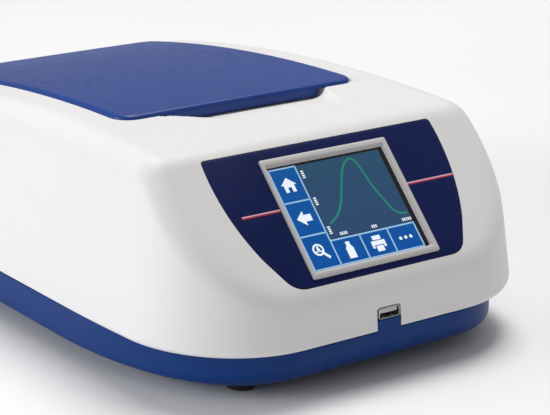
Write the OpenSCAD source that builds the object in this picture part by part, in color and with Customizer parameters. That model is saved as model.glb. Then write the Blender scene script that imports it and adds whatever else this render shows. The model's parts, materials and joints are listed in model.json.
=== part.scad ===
// Benchtop spectrophotometer: arched white case on a blue base, blue sample lid,
// sloping touch-screen fascia, optics and electronics inside. Millimetres, +Z up,
// origin on the bench under the centre of the case, front towards -Y.

/* [Case] */
// Width of the case at the seam
case_w = 233; // [228:1:240]
// Depth of the case, front face to rear face
case_d = 368; // [366:1:376]
// Height of the arch that the top and the lid follow, at its highest point
top_z = 121.4; // [119:0.1:124]
// Depth of the case's skin below that arch
case_drop = 1.2; // [1:0.1:1.4]
// Radius of the arch of the top, seen from the side
arch_r = 1180; // [1000:10:1500]
// Place of the arch's highest point along the case
arch_y = -45; // [-60:1:-30]
// Height of the seam between case and base
seam_z = 26.8; // [25:0.1:28]
// Plan radius of the front corners
front_r = 62; // [55:1:66]
// Plan radius of the rear corners
rear_r = 34; // [20:1:45]
// Thickness of the moulded walls
wall = 2.8; // [2.2:0.1:3.2]
// Inward lean of the side walls towards the top, in degrees
draft = 5; // [3:0.5:6]

/* [Base] */
// Height of the flat underside above the bench
base_z = 7.5; // [6.5:0.5:8.5]
// Plan radius of the base's front corners
base_r = 60; // [57:1:63]
// Half width of the base behind its front corners
base_front_w = 103; // [102:0.5:105]
// Radius of the rounded lower edge at the front and rear
base_edge_r = 15; // [12:1:16]
// Radius of the rounded lower edge along the sides
base_side_r = 3.6; // [3.2:0.2:5]

/* [Fascia] */
// Slope of the fascia from horizontal, in degrees
facet_angle = 46; // [44:0.5:48]
// Height of the screen's centre above the bench
screen_z = 84; // [82:0.5:86]
// Distance of the screen's centre behind the front face
screen_back = 31.6; // [30:0.1:33]
// Half width of the dark overlay at its widest height
overlay_w = 73.6; // [70:0.1:75]
// Width of the screen opening
screen_w = 73; // [68:0.5:76]
// Height of the screen opening, along the slope
screen_h = 59; // [54:0.5:60]
// Width of the screen bezel
bezel_w = 3.8; // [3:0.1:5]

/* [Lid] */
// Half width of the lid
lid_w = 77; // [74:0.5:79]
// Front edge of the lid
lid_front = -57; // [-58:0.5:-56]
// Rear edge of the lid
lid_rear = 161; // [158:0.5:163]
// Thickness of the lid plate
lid_t = 2.8; // [2.4:0.1:3]
// Height of the lid's face above the arch
lid_proud = 0.8; // [0.6:0.1:1]
// Width of the finger scoop in front of the lid
scoop_w = 108; // [106:1:112]
// Width of the finger grip under the lid's front edge
grip_w = 102; // [92:1:103]

/* [Sample chamber] */
// Width of the chamber
chamber_w = 84; // [76:1:86]
// Length of the chamber, front to back
chamber_d = 84; // [76:1:86]
// Height of the chamber's floor above the bench
chamber_floor = 44; // [43:0.5:45]
// Centre of the chamber along the case
chamber_y = 4; // [2:1:6]
// Height of the light beam above the bench
beam_z = 62; // [60:1:64]
// Side of the square cuvette slot
slot = 12.9; // [12.7:0.1:13.2]

/* [Hidden] */

$fn = 64;
eps = 0.01;
half_w = case_w / 2;
y_front = -case_d / 2;
y_rear = case_d / 2;
screen_y = y_front + screen_back;
slope = tan(facet_angle);
hinge_y = lid_rear - 4;
hinge_x = [-48, 48];
bracket_screw_xy = [for (x = hinge_x, s = [-1, 1]) [x + s * 9, hinge_y - 13]];

// The arch is a chain of straight chords, one pitch long
pitch = 12;
function chord_end(i) = top_z - pow(i * pitch - arch_y, 2) / (2 * arch_r);
// Height of the arched top at depth y, moved up by off
function arch_z(y, off = 0) = let (i = floor(y / pitch), t = y / pitch - i)
    chord_end(i) * (1 - t) + chord_end(i + 1) * t + off;
// Depths from a to b at which the chain bends, with both ends
function arch_ys(a, b) =
    concat([a], [for (i = [floor(a / pitch) + 1 : ceil(b / pitch) - 1]) i * pitch], [b]);
// Where the fascia's plane, moved in by g, meets the case's skin moved in by g
function ridge_y(g) = arch_y + arch_r * (sqrt(slope * slope - 2 / arch_r *
    (screen_z + (arch_y - screen_y) * slope - g / cos(facet_angle) - top_z + case_drop + g)) - slope);
function facet_z(y, g) = screen_z + (y - screen_y) * slope - g / cos(facet_angle);
// Points of a round corner of radius r at b, between the edges from a and to c
function unit(v) = v / norm(v);
function corner(a, b, c, r, n = 6) =
    let (u = unit(a - b), v = unit(c - b), half = acos(u * v) / 2, t = r / tan(half),
         centre = b + unit(u + v) * r / sin(half), s = b + u * t - centre, e = b + v * t - centre,
         turn = 180 - 2 * half, side = sign(s.x * e.y - s.y * e.x))
    [for (i = [0 : n]) let (w = side * turn * i / n)
        centre + [s.x * cos(w) - s.y * sin(w), s.x * sin(w) + s.y * cos(w)]];

// Turns an outline drawn as [y, z] into a solid from x = -w to x = w
module across(w) {
    rotate([90, 0, 90]) translate([0, 0, -w]) linear_extrude(2 * w) children();
}
// Turns an outline drawn as [x, z] into a solid from y0 to y1
module along(y0, y1) {
    translate([0, y1, 0]) rotate([90, 0, 0]) linear_extrude(y1 - y0) children();
}
// Stands children on the fascia: x across, y up the slope, z out of the surface
module on_facet() {
    translate([0, screen_y, screen_z]) rotate([facet_angle, 0, 0]) children();
}
module box(x0, x1, y0, y1, z0, z1) {
    translate([x0, y0, z0]) cube([x1 - x0, y1 - y0, z1 - z0]);
}
module rod_x(x0, x1, y, z, r) {
    translate([x0, y, z]) rotate([0, 90, 0]) cylinder(r = r, h = x1 - x0);
}
module rod_y(y0, y1, x, z, r) {
    translate([x, y0, z]) rotate([-90, 0, 0]) cylinder(r = r, h = y1 - y0);
}
module rod_z(z0, z1, x, y, r) {
    translate([x, y, z0]) cylinder(r = r, h = z1 - z0);
}
// Rectangle of half width w from y0 to y1, with one radius in front and one behind
module round_plan(w, y0, y1, r0, r1) {
    translate([-w, y0 + r0]) square([2 * w, y1 - y0 - r0 - r1]);
    translate([-w + r0, y0]) square([2 * (w - r0), r0 + eps]);
    translate([-w + r1, y1 - r1 - eps]) square([2 * (w - r1), r1 + eps]);
    for (s = [-1, 1]) {
        translate([s * (w - r0), y0 + r0]) circle(r0);
        translate([s * (w - r1), y1 - r1]) circle(r1);
    }
}
// Band that follows the arch, between two offsets from it, from y0 to y1
module arch_band(lo, hi, y0, y1, w = 130) {
    ys = arch_ys(y0, y1);
    across(w) polygon(concat([for (y = ys) [y, arch_z(y, lo)]],
                             [for (i = [len(ys) - 1 : -1 : 0]) [ys[i], arch_z(ys[i], hi)]]));
}

// ---- case ----
module case_plan(g) {
    round_plan(half_w - g, y_front + g, y_rear - g, front_r - g, rear_r - g);
}
// Side outline of the case, moved in by g: front face, sloping fascia, arch, rear face
module case_profile(g, z0) {
    skin = -case_drop - g;
    front = [y_front + g, facet_z(y_front + g, g)];
    ridge = [ridge_y(g), arch_z(ridge_y(g), skin)];
    back = [y_rear - g, arch_z(y_rear - g, skin)];
    low_front = [front.x, z0];
    low_back = [back.x, z0];
    near_ridge = [ridge.x + 12, arch_z(ridge.x + 12, skin)];
    near_back = [back.x - 24, arch_z(back.x - 24, skin)];
    polygon(concat([low_front], corner(low_front, front, ridge, 14 - g),
                   corner(front, ridge, near_ridge, 14 - g),
                   [for (y = arch_ys(near_ridge.x, near_back.x)) [y, arch_z(y, skin)]],
                   corner(near_back, back, low_back, 16 - g), [low_back]));
}
module case_sides(g, z0) {
    w = half_w - g;
    lean = (top_z - seam_z) * tan(draft);
    along(y_front - 1, y_rear + 1)
        polygon([[-w, z0], [w, z0], [w, seam_z],
            [w - lean, top_z + 1], [lean - w, top_z + 1], [-w, seam_z]]);
}
module case_solid(g, z0) {
    intersection() {
        translate([0, 0, z0]) linear_extrude(top_z - z0 + 2) case_plan(g);
        across(half_w + 1) case_profile(g, z0);
        case_sides(g, z0);
    }
}
module lid_plan(g) {
    round_plan(lid_w - g, lid_front + g, lid_rear - g, 10 - g / 2, 10 - g / 2);
}
// Gap around the lid plate, and the depths below the arch of its rebate and of the well
lid_gap = 0.8;
rebate_d = 2.4;
well_d = 9.2;
tub_t = 2.4;
// Depth below the arch of the flanges that lie on the well's floor
flange_d = 7.8;
// Room behind the lid's rear edge, for the edge to swing down as the lid opens
rear_gap = 4.4;
module lid_well_plan() {
    round_plan(lid_w - 4, lid_front + 8, lid_rear - 14, 8, 6);
    translate([-lid_w - lid_gap, lid_rear - 16]) square([2 * (lid_w + lid_gap), 16 + rear_gap]);
}
// Screw columns that hang from the case's roof
column_xy = [[-88, -106], [88, -106], [-90, 140], [90, 140]];
column_r = 4.5;
module case_columns() {
    intersection() {
        case_solid(1, seam_z);
        for (p = column_xy) rod_z(seam_z, top_z, p.x, p.y, column_r);
    }
}
// Hollow in front of the lid: its floor falls towards the lid's front edge
scoop_front = lid_front - 26;
scoop_back = lid_front + 8.5;
module scoop() {
    across(scoop_w / 2) polygon([[scoop_front, arch_z(scoop_front, -1)], [scoop_front, top_z + 5],
        [scoop_back, top_z + 5], [scoop_back, arch_z(scoop_back, -7.6)],
        [lid_front - 4, arch_z(lid_front, -7.2)], [lid_front - 14, arch_z(lid_front, -3.6)]]);
}
module scoop_tub() {
    intersection() {
        case_solid(1, seam_z);
        across(scoop_w / 2 + 2.5) polygon([[scoop_front - 4, arch_z(scoop_front, -1)],
            [scoop_back + 1, arch_z(scoop_back, -1)], [scoop_back + 1, arch_z(scoop_back, -10.4)],
            [lid_front - 5, arch_z(lid_front, -9.8)], [lid_front - 15, arch_z(lid_front, -6.2)]]);
    }
}
// Front socket: its centre across the case and its height
usb_x = 1;
usb_z = seam_z + 9;
module usb_notch(w, top) {
    box(usb_x - w / 2, usb_x + w / 2, y_front - 1, y_front + wall + 2, seam_z - 1, top);
}
panel_w = 67;
panel_z = [31, 77];
panel_screw_xz = [for (x = [3 - panel_w, panel_w - 3], z = [panel_z[0] + 6, panel_z[1] - 6]) [x, z]];
module top_case() {
    color("white") difference() {
        union() {
            difference() {
                case_solid(0, seam_z);
                case_solid(wall, seam_z - 1);
            }
            // ledge that closes the gap down to the narrower base
            translate([0, 0, seam_z]) linear_extrude(2.4) difference() {
                case_plan(1);
                base_plan(3.4);
            }
            // tub under the lid
            intersection() {
                linear_extrude(top_z + 5) offset(delta = tub_t) lid_well_plan();
                arch_band(-well_d - tub_t, -1, lid_front, lid_rear + rear_gap + 3);
            }
            scoop_tub();
            case_columns();
            on_facet() for (p = board_holes) translate([p.x + screen_x, p.y, -5.6]) cylinder(r = 3, h = 4);
        }
        on_facet() for (p = board_holes) translate([p.x + screen_x, p.y, -6]) cylinder(r = 1.3, h = 4.1);
        // shallow rebate that the lid plate lies in, and the well below it
        intersection() {
            linear_extrude(top_z + 5) lid_plan(-lid_gap);
            arch_band(-rebate_d, 6, lid_front - 2, lid_rear + 2);
        }
        intersection() {
            linear_extrude(top_z + 5) lid_well_plan();
            arch_band(-well_d, 6, lid_front + 4, lid_rear + rear_gap + 1);
        }
        scoop();
        // hole over the sample chamber
        box(-chamber_w / 2 - 2.3, chamber_w / 2 + 2.3, chamber_y - chamber_d / 2 - 2.3,
            chamber_y + chamber_d / 2 + 2.3, 90, top_z);
        // shallow pocket for the overlay, and the display window
        on_facet() {
            translate([0, 0, -1.1]) linear_extrude(12) overlay_outline(-0.2);
        }
        facet_plate(screen_w + 5, screen_h + 7, -12, 12);
        usb_notch(15.2, seam_z + 12.3);
        box(-panel_w + 7, panel_w - 7, y_rear - wall - 1, y_rear + 1, panel_z[0] + 3, panel_z[1] - 3);
        for (p = panel_screw_xz) {
            rod_y(y_rear - wall - 1, y_rear + 1, p[0], p[1], 1.3);
            rod_y(y_rear - 1.8, y_rear + 1, p[0], p[1], 2.8);
        }
        for (p = column_xy) rod_z(seam_z - 1, seam_z + 16, p.x, p.y, 1.4);
        for (p = bracket_screw_xy) rod_z(80, 100, p.x, p.y, 1.2);
    }
}

// ---- base ----
// Where the sides have flared out to the width of the case
flare_y = y_front + 150;
module base_plan(g) {
    r = base_r - g;
    cx = base_front_w - base_r;
    cy = y_front + base_r;
    w = half_w - g;
    wf = base_front_w - g;
    translate([-cx, y_front + g]) square([2 * cx, base_r]);
    for (s = [-1, 1]) translate([s * cx, cy]) circle(r);
    polygon([[-wf, cy], [wf, cy], [w, flare_y], [-w, flare_y]]);
    round_plan(w, flare_y - eps, y_rear - g, 1, rear_r - g);
}
module base_solid(g, z0, z1) {
    r = base_edge_r - g;
    flank_r = base_side_r - g;
    intersection() {
        translate([0, 0, z0]) linear_extrude(z1 - z0) base_plan(g);
        across(half_w + 1) polygon(concat(
            corner([y_front + g, 60], [y_front + g, z0], [0, z0], r),
            corner([0, z0], [y_rear - g, z0], [y_rear - g, 60], r),
            [[y_rear - g, 60], [y_front + g, 60]]));
        along(y_front - 1, y_rear + 1) polygon(concat(
            corner([-half_w + g, 60], [-half_w + g, z0], [0, z0], flank_r),
            corner([0, z0], [half_w - g, z0], [half_w - g, 60], flank_r),
            [[half_w - g, 60], [-half_w + g, 60]]));
    }
}
foot_xy = [[-66, -148.5], [66, -148.5], [-70, 150], [70, 150]];
bench_post_xy = [[-94, -30], [94, -30], [-94, 52], [94, 52]];
board_z = 18;
board_t = 1.6;
board_post_xy = [[-74, 80], [74, 80], [-74, 156], [74, 156]];
module base_tray() {
    color("royalblue") difference() {
        union() {
            difference() {
                base_solid(0, base_z, seam_z);
                base_solid(wall, base_z + wall, seam_z + 1);
            }
            // tab that fills the foot of the socket's notch
            box(usb_x - 7.5, usb_x + 7.5, y_front, y_front + wall, seam_z - 2, seam_z + 5.8);
            for (p = column_xy) rod_z(base_z + 1, seam_z, p.x, p.y, 5);
            for (x = [-8, 10]) rod_z(base_z + 1, seam_z + 4.5, x, y_front + 24, 3.5);
        }
        for (p = column_xy) {
            rod_z(base_z - 1, base_z + 8, p.x, p.y, 3.6);
            rod_z(base_z, seam_z + 1, p.x, p.y, 1.7);
        }
        for (p = foot_xy) rod_z(base_z - 1, base_z + 6, p.x, p.y, 2.6);
        // cooling slots in the underside
        for (i = [0 : 6]) box(-30, 30, 92 + i * 8, 95 + i * 8, base_z - 1, base_z + wall + 1);
    }
}
module rubber_feet() {
    color("dimgray") for (p = foot_xy) {
        rod_z(0, base_z, p.x, p.y, 7.5);
        rod_z(base_z - 1, base_z + 5, p.x, p.y, 2.5);
    }
}
// Pan-head screw pointing along +Z from the underside of its head at z = 0
module screw(r, len, head_r, head_h) {
    difference() {
        union() {
            translate([0, 0, -eps]) cylinder(r = r, h = len + eps, $fn = 24);
            translate([0, 0, -head_h]) cylinder(r = head_r, h = head_h, $fn = 32);
        }
        for (a = [0, 90]) rotate([0, 0, a])
            translate([-head_r * 0.6, -0.35, -head_h - 1]) cube([head_r * 1.2, 0.7, 1 + head_h * 0.5]);
    }
}
module case_screws() {
    color("silver") for (p = column_xy) translate([p.x, p.y, base_z + 8]) screw(1.4, 24, 3, 2.2);
}

// ---- rear panel ----
inlet_x = -46;
usb_b_x = -20;
switch_x = 44;
jack_z = 54;
module rear_panel() {
    color("gainsboro") difference() {
        box(-panel_w, panel_w, y_rear - wall - 2, y_rear - wall, panel_z[0], panel_z[1]);
        rod_y(y_rear - 10, y_rear, inlet_x, jack_z, 5.6);
        box(usb_b_x - 6.2, usb_b_x + 6.2, y_rear - 10, y_rear, jack_z - 5.6, jack_z + 5.6);
        box(switch_x - 6.6, switch_x + 6.6, y_rear - 10, y_rear, jack_z - 9.6, jack_z + 9.6);
        for (p = panel_screw_xz) rod_y(y_rear - 10, y_rear, p[0], p[1], 1.2);
        for (i = [0 : 7]) box(i * 3.4 - 2, i * 3.4 - 0.6, y_rear - 10, y_rear, jack_z - 14, jack_z + 14);
    }
}
module rear_panel_screws() {
    color("silver") for (p = panel_screw_xz)
        translate([p[0], y_rear - 1.8, p[1]]) rotate([90, 0, 0]) screw(1.2, 7, 2.6, 1.6);
}
module power_inlet() {
    color("black") difference() {
        union() {
            rod_y(y_rear - wall - 14, y_rear - 1.2, inlet_x, jack_z, 5.5);
            rod_y(y_rear - wall, y_rear - 1.2, inlet_x, jack_z, 6.6);
        }
        rod_y(y_rear - 13, y_rear, inlet_x, jack_z, 3.1);
    }
}
module inlet_contact() {
    color("gold") {
        rod_y(y_rear - 13, y_rear - 3.4, inlet_x, jack_z, 1.05);
        translate([inlet_x, y_rear - 3.4, jack_z]) sphere(r = 1.05);
    }
}
module rear_usb_socket() {
    color("silver") {
        difference() {
            box(usb_b_x - 6, usb_b_x + 6, y_rear - wall - 14, y_rear - 1.5, jack_z - 5.4, jack_z + 5.4);
            box(usb_b_x - 4.2, usb_b_x + 4.2, y_rear - wall - 8, y_rear, jack_z - 3.9, jack_z + 3.9);
        }
        box(usb_b_x - 2.8, usb_b_x + 2.8, y_rear - wall - 8 - eps, y_rear - 3, jack_z - 1.6, jack_z + 1.6);
    }
}
// Upright board that carries the rear sockets
module rear_io_board() {
    color("darkgreen") box(-58, -2, y_rear - wall - 15.6, y_rear - wall - 14, jack_z - 13, jack_z + 12);
}
// Bezelled housing of the power switch, with a bearing hole in each cheek
module switch_frame() {
    color("black") difference() {
        union() {
            box(switch_x - 6.4, switch_x + 6.4, y_rear - wall - 14, y_rear - 2, jack_z - 9.4, jack_z + 9.4);
            box(switch_x - 7.6, switch_x + 7.6, y_rear - wall, y_rear - 1.4, jack_z - 10.6, jack_z + 10.6);
        }
        box(switch_x - 4.6, switch_x + 4.6, y_rear - wall - 8, y_rear, jack_z - 8.3, jack_z + 8.3);
        rod_x(switch_x - 6, switch_x + 6, y_rear - 6, jack_z, 1.25);
    }
}
// Rocker with its raised half at the bottom, on two stub axles
module power_rocker() {
    color("dimgray") {
        across_switch(8.4) polygon([[y_rear - 8.6, jack_z - 2.5], [y_rear - 8.6, jack_z + 2.5],
            [y_rear - 4.2, jack_z + 7], [y_rear - 2.8, jack_z + 7.2], [y_rear - 2.9, jack_z],
            [y_rear - 0.8, jack_z - 7.2], [y_rear - 2.2, jack_z - 7.2]]);
        rod_x(switch_x - 5.8, switch_x + 5.8, y_rear - 6, jack_z, 1.2);
    }
}
module across_switch(w) {
    rotate([90, 0, 90]) translate([0, 0, switch_x - w / 2]) linear_extrude(w) children();
}

// ---- fascia ----
// Outline of the overlay: flat top, sides that bow out, round lower corners
overlay_top = 40.6;
overlay_low = -38;
bow_r = 124;
bow_v = 30;
function side_w(v, g) = overlay_w - g - bow_r + sqrt(bow_r * bow_r - pow(v - bow_v, 2));
module overlay_outline(g) {
    low = overlay_low + g;
    top = overlay_top - g;
    side = [for (i = [0 : 12]) let (v = low + (top - low) * i / 12) [side_w(v, g), v]];
    right = concat(corner([0, low], side[0], side[2], 12, 8),
                   [for (i = [3 : 11]) side[i]], corner(side[11], side[12], [0, top], 2, 3));
    polygon(concat(right, [for (i = [len(right) - 1 : -1 : 0]) [-right[i].x, right[i].y]]));
}
screen_x = -1;
bezel_out = [screen_w + 2 * bezel_w, screen_h + 2.6 * bezel_w];
module facet_plate(w, h, z0, z1) {
    on_facet() translate([screen_x - w / 2, -h / 2, z0]) cube([w, h, z1 - z0]);
}
module fascia_overlay() {
    color("midnightblue") difference() {
        on_facet() translate([0, 0, -1]) linear_extrude(1) overlay_outline(0);
        facet_plate(screen_w + 4, screen_h + 6, -3, 3);
    }
}
module screen_bezel() {
    color("lightgray") difference() {
        union() {
            facet_plate(bezel_out.x, bezel_out.y, 0, 1.8);
            facet_plate(screen_w + 3.6, screen_h + 5.6, -3, 0.5);
        }
        facet_plate(screen_w, screen_h, -4, 4);
    }
}
module touch_glass() {
    color("steelblue") facet_plate(screen_w - 0.4, screen_h - 0.4, -1.2, 0.4);
}
module display_panel() {
    color("gray") facet_plate(screen_w - 0.4, screen_h - 0.4, -5.4, -1.3);
}
board_holes = [[-44, -34], [44, -34], [-44, 34], [44, 34]];
module display_board() {
    color("darkgreen") difference() {
        facet_plate(96, 76, -7.2, -5.6);
        on_facet() for (p = board_holes) translate([p.x + screen_x, p.y, -10]) cylinder(r = 1.5, h = 8);
    }
}
module display_screws() {
    color("silver") on_facet() for (p = board_holes)
        translate([p.x + screen_x, p.y, -7.2]) screw(1.3, 5.2, 2.6, 1.6);
}
// Flat flex from the display board down and back to the main board
module ribbon_cable() {
    route = [[-143, 81], [-134, 74], [-124, 60], [-118, 44], [-110, 31], [-96, 24], [-60, 22], [0, 22],
             [56, 22], [72, 20.2], [80, 19.6]];
    n = len(route);
    up = [for (p = route) p + [0.2, 0.4]];
    color("tan") across(9) polygon(concat(route, [for (i = [n - 1 : -1 : 0]) up[i]]));
}

// ---- front socket ----
usb_shell = [13.2, 5.8];
usb_mouth = [12.4, 5];
module front_usb_shell() {
    color("silver") difference() {
        box(usb_x - usb_shell.x / 2, usb_x + usb_shell.x / 2, y_front + 0.4, y_front + 17,
            usb_z - usb_shell.y / 2, usb_z + usb_shell.y / 2);
        box(usb_x - usb_mouth.x / 2, usb_x + usb_mouth.x / 2, y_front - 1, y_front + 15,
            usb_z - usb_mouth.y / 2, usb_z + usb_mouth.y / 2);
    }
}
module front_usb_tongue() {
    color("gainsboro") box(usb_x - 5.6, usb_x + 5.6, y_front + 1.4, y_front + 15, usb_z - 0.2, usb_z + 2);
}
module front_usb_board() {
    color("darkgreen") box(-16, 18, y_front + 6, y_front + 34, usb_z - 4.5, usb_z - 2.9);
}

// ---- lid ----
arm_w = 7;
// Centre and half thickness of the bracket cheeks either side of an arm
cheek_x = 5.2;
cheek_t = 1.4;
// Depths below the arch of the skirt and the grip under the lid
skirt_d = 8;
grip_d = 6.6;
module sample_lid() {
    color("royalblue") {
        difference() {
            intersection() {
                translate([0, 0, 60]) linear_extrude(80) lid_plan(0);
                arch_band(lid_proud - lid_t, lid_proud, lid_front - 1, lid_rear + 1);
            }
            for (x = hinge_x, y = lid_screw_y) rod_z(80, arch_z(y, -1.2), x, y, 1);
        }
        // skirt that hangs into the well
        intersection() {
            translate([0, 0, 60]) linear_extrude(80) difference() {
                round_plan(lid_w - 5.2, lid_front + 9.2, lid_rear - 25, 7, 6);
                round_plan(lid_w - 7.2, lid_front + 11.2, lid_rear - 27, 5, 4);
            }
            arch_band(-skirt_d, lid_proud - lid_t + eps, lid_front - 1, lid_rear + 1);
        }
        // grip for the fingers, under the front edge
        intersection() {
            translate([0, 0, 60]) linear_extrude(80)
                round_plan(grip_w / 2, lid_front + 1, lid_front + 10.2, 2, 0.5);
            arch_band(-grip_d, lid_proud - lid_t + eps, lid_front, lid_front + 12);
        }
    }
}
magnet_xy = [55, chamber_y - 40];
module lid_inner_plate() {
    color("black") difference() {
        intersection() {
            translate([0, 0, 60]) linear_extrude(80)
                round_plan(lid_w - 9, lid_front + 13, chamber_y + 62, 4, 4);
            arch_band(-3.4, lid_proud - lid_t, lid_front, lid_rear);
        }
        rod_z(90, 130, magnet_xy.x, magnet_xy.y, 3.05);
    }
}
module lid_magnet() {
    color("silver") intersection() {
        rod_z(90, 130, magnet_xy.x, magnet_xy.y, 3);
        arch_band(-4.4, lid_proud - lid_t, lid_front, lid_rear);
    }
}
hinge_z = arch_z(hinge_y, -5);
hinge_r = 2.6;
lid_screw_y = [hinge_y - 15, hinge_y - 8];
module lid_hinge_arms() {
    color("royalblue") for (x = hinge_x) difference() {
        union() {
            rod_x(x - arm_w / 2, x + arm_w / 2, hinge_y, hinge_z, hinge_r);
            intersection() {
                box(x - arm_w / 2, x + arm_w / 2, hinge_y - 19, hinge_y, 80, 130);
                arch_band(-4.6, lid_proud - lid_t, hinge_y - 40, hinge_y);
            }
        }
        rod_x(x - 10, x + 10, hinge_y, hinge_z, 1.55);
        for (y = lid_screw_y) rod_z(80, 130, x, y, 1.05);
    }
}
module lid_screws() {
    color("silver") for (x = hinge_x, y = lid_screw_y)
        translate([x, y, arch_z(y, -5)]) screw(1, 3.6, 1.9, 1);
}
module hinge_brackets() {
    color("dimgray") for (x = hinge_x) difference() {
        union() {
            intersection() {
                difference() {
                    box(x - 13, x + 13, hinge_y - 17, hinge_y + 1.8, 80, 130);
                    box(x - 3.9, x + 3.9, hinge_y - 4, hinge_y + 4, 80, 130);
                }
                arch_band(-well_d, -flange_d, hinge_y - 20, hinge_y + 4);
            }
            for (s = [-1, 1]) intersection() {
                union() {
                    rod_x(x + s * cheek_x - cheek_t, x + s * cheek_x + cheek_t, hinge_y, hinge_z, hinge_r);
                    box(x + s * cheek_x - cheek_t, x + s * cheek_x + cheek_t,
                        hinge_y - hinge_r, hinge_y + hinge_r, 85, hinge_z);
                }
                arch_band(-well_d, 0, hinge_y - 20, hinge_y + 4);
            }
        }
        rod_x(x - 15, x + 15, hinge_y, hinge_z, 1.5);
        for (p = bracket_screw_xy) rod_z(80, 130, p.x, p.y, 1.3);
    }
}
module hinge_bracket_screws() {
    color("silver") for (p = bracket_screw_xy)
        translate([p.x, p.y, arch_z(p.y, -7.4)]) rotate([180, 0, 0]) screw(1.1, 5, 2.1, 1.1);
}
module hinge_pins() {
    color("silver") for (x = hinge_x) rod_x(x - 7.4, x + 7.4, hinge_y, hinge_z, 1.5);
}
module lid_switch() {
    color("black") box(magnet_xy.x - 4, magnet_xy.x + 4, magnet_xy.y - 5, magnet_xy.y + 5, 105.4, 109.4);
}
module lid_seal() {
    color("dimgray") intersection() {
        linear_extrude(130) difference() {
            square_plan(chamber_w / 2 + 4.3, chamber_d / 2 + 4.3);
            square_plan(chamber_w / 2 + 1, chamber_d / 2 + 1);
        }
        arch_band(-flange_d, -3.9, chamber_y - 60, chamber_y + 60);
    }
}
module square_plan(hx, hy) {
    translate([-hx, chamber_y - hy]) square([2 * hx, 2 * hy]);
}

// ---- sample chamber ----
cx = chamber_w / 2;
cy0 = chamber_y - chamber_d / 2;
cy1 = chamber_y + chamber_d / 2;
holder_screw_xy = [[-9, chamber_y + 16], [9, chamber_y + 16]];
module chamber_liner() {
    color("black") difference() {
        union() {
            intersection() {
                box(-cx - 2, cx + 2, cy0 - 2, cy1 + 2, chamber_floor - 2, top_z);
                arch_band(-90, -flange_d, cy0 - 10, cy1 + 10);
            }
            intersection() {
                box(-cx - 4.5, cx + 4.5, cy0 - 4.5, cy1 + 4.5, 80, top_z);
                arch_band(-well_d, -flange_d, cy0 - 12, cy1 + 12);
            }
        }
        box(-cx, cx, cy0, cy1, chamber_floor, top_z + 1);
        rod_x(-cx - 5, cx + 5, chamber_y, beam_z, 6);
        for (p = holder_screw_xy) rod_z(chamber_floor - 5, chamber_floor + 5, p.x, p.y, 1.4);
    }
}
// Half width and height of the cuvette holder, and its two screws
hold = 12;
hold_h = 38;
module cuvette_holder() {
    color("dimgray") difference() {
        union() {
            box(-hold, hold, chamber_y - hold, chamber_y + hold, chamber_floor, chamber_floor + hold_h);
            box(-hold - 2, hold + 2, chamber_y - hold, chamber_y + 20, chamber_floor, chamber_floor + 3);
        }
        box(-slot / 2, slot / 2, chamber_y - slot / 2, chamber_y + slot / 2,
            chamber_floor + 3, chamber_floor + 60);
        rod_x(-30, 30, chamber_y, beam_z, 4);
        box(-3.2, 3.2, chamber_y + slot / 2 - 1, chamber_y + hold + 1,
            chamber_floor + 8, chamber_floor + 60);
        for (p = holder_screw_xy) rod_z(chamber_floor - 5, chamber_floor + 5, p.x, p.y, 1.4);
    }
}
// Bent leaf that presses the cuvette against the far wall of its slot
module cuvette_spring() {
    y = chamber_y + slot / 2;
    z = chamber_floor;
    color("silver") rotate([90, 0, 90]) translate([0, 0, -2.5]) linear_extrude(5)
        polygon([[y + 3.6, z + 8], [y + 4, z + 8], [y + 4, z + 12], [y + 1, z + 22], [y + 2.6, z + 34],
                 [y + 2.2, z + 34], [y + 0.5, z + 22], [y + 3.6, z + 12]]);
}
module holder_screws() {
    color("silver") for (p = holder_screw_xy) translate([p.x, p.y, chamber_floor + 3])
        rotate([180, 0, 0]) screw(1.3, 9, 2.4, 1.6);
}
module beam_windows() {
    color("lightcyan") for (s = [-1, 1])
        rod_x(s * (cx + 1) - 0.9, s * (cx + 1) + 0.9, chamber_y, beam_z, 5.9);
}

// ---- optics ----
bench_top = chamber_floor - 2;
bench_t = 5;
module optical_bench() {
    color("silver") difference() {
        box(-104, 104, chamber_y - 40, chamber_y + 54, bench_top - bench_t, bench_top);
        for (p = bench_post_xy) rod_z(30, 50, p.x, p.y, 1.8);
        for (p = holder_screw_xy) rod_z(30, 50, p.x, p.y, 1.3);
        box(-30, 30, chamber_y + 24, chamber_y + 46, 30, 50);
    }
}
module bench_posts() {
    color("silver") for (p = bench_post_xy) difference() {
        rod_z(base_z + wall, bench_top - bench_t, p.x, p.y, 4);
        rod_z(bench_top - 15, bench_top, p.x, p.y, 1.5);
    }
}
module bench_screws() {
    color("silver") for (p = bench_post_xy) translate([p.x, p.y, bench_top])
        rotate([180, 0, 0]) screw(1.5, 12, 2.8, 1.8);
}
lamp_x = -84;
module lamp_housing() {
    color("silver") difference() {
        union() {
            box(lamp_x - 14, lamp_x + 14, chamber_y - 16, chamber_y + 16, bench_top, beam_z + 18);
            for (i = [0 : 5]) box(lamp_x - 14, lamp_x + 14, chamber_y + 15, chamber_y + 26,
                                  bench_top + 2 + i * 6, bench_top + 3.6 + i * 6);
        }
        rod_z(bench_top + 3, beam_z + 20, lamp_x, chamber_y, 10);
        rod_x(lamp_x, lamp_x + 20, chamber_y, beam_z, 5);
    }
}
module lamp_bulb() {
    color("lightyellow") {
        rod_z(bench_top + 3, bench_top + 10, lamp_x, chamber_y, 5);
        rod_z(bench_top + 10 - eps, beam_z + 6, lamp_x, chamber_y, 4);
        translate([lamp_x, chamber_y, beam_z + 6]) sphere(r = 4);
    }
}
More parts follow.
